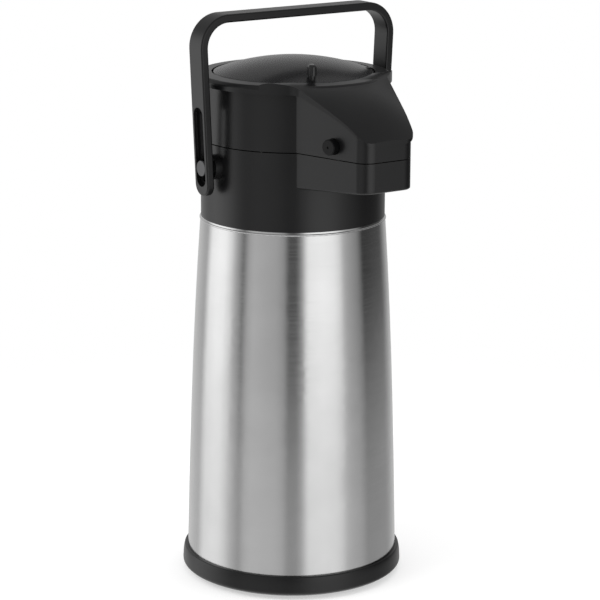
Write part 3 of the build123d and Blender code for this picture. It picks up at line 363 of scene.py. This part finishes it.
class AIRPOT_OT_stage(bpy.types.Operator):
    """White surround, soft boxes and dark cards, pale floor, lamps and camera"""

    bl_idname = "airpot.stage"
    bl_label = "Stage"

    def surround(self, s):
        """World: white where the camera, a reflection or a clear piece looks, and softer as room light."""
        world = bpy.data.worlds.new("studio surround")
        bpy.context.scene.world = world
        world.use_nodes = True
        tree = world.node_tree
        tree.nodes.clear()
        room = add(tree, "ShaderNodeBackground", {"Color": (1, 1, 1, 1), "Strength": ROOM_LIGHT})
        white = add(tree, "ShaderNodeBackground", {"Color": (1, 1, 1, 1), "Strength": 1.0})
        path = add(tree, "ShaderNodeLightPath")
        seen = add(
            tree, "ShaderNodeMath", {"operation": "MAXIMUM"},
            {0: path.outputs["Is Camera Ray"], 1: path.outputs["Is Glossy Ray"]},
        )
        seen = add(
            tree, "ShaderNodeMath", {"operation": "MAXIMUM"},
            {0: seen.outputs[0], 1: path.outputs["Is Transmission Ray"]},
        )
        both = add(
            tree, "ShaderNodeMixShader", links={0: seen.outputs[0], 1: room.outputs[0], 2: white.outputs[0]},
        )
        add(tree, "ShaderNodeOutputWorld", links={"Surface": both.outputs[0]})

    def cards(self, s):
        """Upright ring of soft boxes and cards under a dark ceiling, seen only in reflections.

        The brightness is interpolated between the cards by direction. Going down from VEIL_TOP its share of
        VEIL rises smoothly from 0 to VEIL_SHARE over VEIL_FADE, and going up from CEILING_FOOT its share of
        CEILING rises smoothly from 0 to 1 over CEILING_FADE.
        """
        turns = np.radians(np.arange(0, 360, 2.0))
        over = np.radians(np.linspace(0, 90, 10))[1:]
        upright = np.linspace(-CARD_REACH, CARD_REACH, 46)
        heights = np.concatenate([upright, CARD_REACH + CEILING_RISE * np.sin(over)])
        radii = s.card_radius * np.concatenate([np.ones(upright.size), np.maximum(np.cos(over), 0.001)])
        a, z = np.meshgrid(turns, heights, indexing="ij")
        r = np.broadcast_to(radii, a.shape)
        points = np.stack([r * np.sin(a), -r * np.cos(a), z], -1).reshape(-1, 3)
        degrees, brightness = np.array(CARDS).T
        seen = (np.degrees(a) - s.azimuth + 180) % 360 - 180
        low = np.clip((VEIL_TOP - z) / VEIL_FADE, 0, 1)
        veil = VEIL_SHARE * low * low * (3 - 2 * low)
        high = np.clip((z - CEILING_FOOT) / CEILING_FADE, 0, 1)
        dark = high * high * (3 - 2 * high)
        level = np.interp(seen, degrees, brightness) * (1 - veil) + VEIL * veil
        level = level * (1 - dark) + CEILING * dark
        n, m = a.shape
        i, j = np.meshgrid(np.arange(n), np.arange(m - 1), indexing="ij")
        nxt = (i + 1) % n
        quads = np.stack([i * m + j, nxt * m + j, nxt * m + j + 1, i * m + j + 1], -1).reshape(-1, 4)
        mesh = bpy.data.meshes.new("soft_boxes")
        mesh.from_pydata(points, [], quads.tolist())
        mesh.attributes.new("level", "FLOAT", "POINT").data.foreach_set("value", level.ravel())
        ring = bpy.data.objects.new("soft_boxes", mesh)
        bpy.context.scene.collection.objects.link(ring)
        ring.visible_camera = ring.visible_diffuse = ring.visible_shadow = ring.visible_transmission = False
        material, tree = new_material("soft boxes and cards")
        stored = add(tree, "ShaderNodeAttribute", {"attribute_name": "level"})
        glow = add(tree, "ShaderNodeEmission", {"Color": (1, 1, 1, 1)}, {"Strength": stored.outputs["Fac"]})
        add(tree, "ShaderNodeOutputMaterial", links={"Surface": glow.outputs[0]})
        mesh.materials.append(material)

    def floor(self, s):
        """Disc of rings and spokes at z = 0, whose edge fades into the surround by its radius."""
        radii = np.linspace(0, s.floor_radius, 24)[1:]
        turns = np.linspace(0, 2 * np.pi, 96, endpoint=False)
        x, y = radii[:, None] * np.cos(turns), radii[:, None] * np.sin(turns)
        points = np.concatenate([[[0, 0, 0]], np.stack([x, y, 0 * x], -1).reshape(-1, 3)])
        n = len(turns)
        k, j = np.meshgrid(np.arange(len(radii) - 1), np.arange(n), indexing="ij")
        a, b = 1 + k * n + j, 1 + k * n + (j + 1) % n
        quads = np.stack([a, a + n, b + n, b], -1).reshape(-1, 4)
        j = np.arange(n)
        middle = np.stack([0 * j, 1 + j, 1 + (j + 1) % n], -1)
        mesh = bpy.data.meshes.new("floor")
        mesh.from_pydata(points, [], middle.tolist() + quads.tolist())
        floor = bpy.data.objects.new("floor", mesh)
        bpy.context.scene.collection.objects.link(floor)
        material, tree = new_material("pale matt floor")
        place = add(tree, "ShaderNodeTexCoord")
        away = add(tree, "ShaderNodeVectorMath", {"operation": "LENGTH"}, {0: place.outputs["Object"]})
        seen = add(
            tree, "ShaderNodeMapRange",
            {"From Min": 0.45 * s.floor_radius, "From Max": 0.95 * s.floor_radius, "To Min": 1, "To Max": 0,
             "interpolation_type": "SMOOTHSTEP"},
            {"Value": away.outputs["Value"]},
        )
        matt = add(tree, "ShaderNodeBsdfDiffuse", {"Color": linear("#c8c8c8")})
        path = add(tree, "ShaderNodeLightPath")
        camera = {0: path.outputs["Is Camera Ray"]}
        glow = add(tree, "ShaderNodeMath", {"operation": "MULTIPLY", 1: FLOOR_GLOW}, camera)
        white = add(tree, "ShaderNodeEmission", links={"Strength": glow.outputs[0]})
        sheet = add(tree, "ShaderNodeAddShader", links={0: matt.outputs[0], 1: white.outputs[0]})
        clear = add(tree, "ShaderNodeBsdfTransparent")
        layers = {0: seen.outputs[0], 1: clear.outputs[0], 2: sheet.outputs[0]}
        faded = add(tree, "ShaderNodeMixShader", links=layers)
        add(tree, "ShaderNodeOutputMaterial", links={"Surface": faded.outputs[0]})
        mesh.materials.append(material)
        floor.visible_glossy = False

    def lamp(self, s, name, azimuth, elevation, distance, size, watts):
        """Square soft lamp that points at the middle of the pot."""
        data = bpy.data.lights.new(name, "AREA")
        data.shape, data.size, data.energy = "SQUARE", size, watts
        lamp = bpy.data.objects.new(name, data)
        a, e = np.radians(azimuth + s.azimuth), np.radians(elevation)
        away = Vector((np.sin(a) * np.cos(e), -np.cos(a) * np.cos(e), np.sin(e)))
        lamp.location = LAMP_AIM + distance * away
        lamp.rotation_euler = away.to_track_quat("Z", "Y").to_euler()
        lamp.visible_glossy = False
        bpy.context.scene.collection.objects.link(lamp)

    def camera(self, s):
        """Looks at the aim from distance along (sin A cos E, -cos A cos E, sin E)."""
        data = bpy.data.cameras.new("camera")
        data.lens, data.sensor_width = s.lens, 36
        camera = bpy.data.objects.new("camera", data)
        a, e, roll = np.radians(s.azimuth), np.radians(s.elevation), np.radians(s.roll)
        back = Vector((np.sin(a) * np.cos(e), -np.cos(a) * np.cos(e), np.sin(e)))
        right = Vector((np.cos(a), np.sin(a), 0))
        up = back.cross(right)
        right, up = right * np.cos(roll) + up * np.sin(roll), up * np.cos(roll) - right * np.sin(roll)
        turn = Matrix((right, up, back)).transposed().to_4x4()
        camera.matrix_world = Matrix.Translation(s.aim + back * s.distance) @ turn
        bpy.context.scene.collection.objects.link(camera)
        bpy.context.scene.camera = camera

    def execute(self, context):
        s = context.scene.airpot_stage
        context.scene.view_settings.view_transform = "Standard"
        self.surround(s)
        self.cards(s)
        self.floor(s)
        for lamp in LAMPS:
            self.lamp(s, *lamp)
        self.camera(s)
        return {"FINISHED"}


# ---------------------------------------------------------------- panel and run


PIECES = (
    AIRPOT_OT_black_mouldings,
    AIRPOT_OT_pale_mouldings,
    AIRPOT_OT_soft_parts,
    AIRPOT_OT_steel_body,
    AIRPOT_OT_springs_and_pins,
    AIRPOT_OT_stage,
)
SETTINGS = {"airpot_plastic": PlasticSettings, "airpot_steel": SteelSettings, "airpot_stage": StageSettings}


class AIRPOT_PT_panel(bpy.types.Panel):
    """Lists the sizes and colours, and a button for each group of pieces"""

    bl_label = "Thermal coffee airpot"
    bl_space_type = "VIEW_3D"
    bl_region_type = "UI"
    bl_category = "Airpot"

    def draw(self, context):
        for name, group in SETTINGS.items():
            box = self.layout.box()
            for field in group.__annotations__:
                box.prop(getattr(context.scene, name), field)
        for piece in PIECES:
            self.layout.operator(piece.bl_idname)


def register():
    for cls in (*SETTINGS.values(), *PIECES, AIRPOT_PT_panel):
        bpy.utils.register_class(cls)
    for name, group in SETTINGS.items():
        setattr(bpy.types.Scene, name, bpy.props.PointerProperty(type=group))


def unregister():
    for name in SETTINGS:
        delattr(bpy.types.Scene, name)
    for cls in reversed((*SETTINGS.values(), *PIECES, AIRPOT_PT_panel)):
        bpy.utils.unregister_class(cls)


def main():
    register()
    for piece in PIECES:
        group, name = piece.bl_idname.split(".")
        getattr(getattr(bpy.ops, group), name)()


if __name__ == "__main__":
    main()
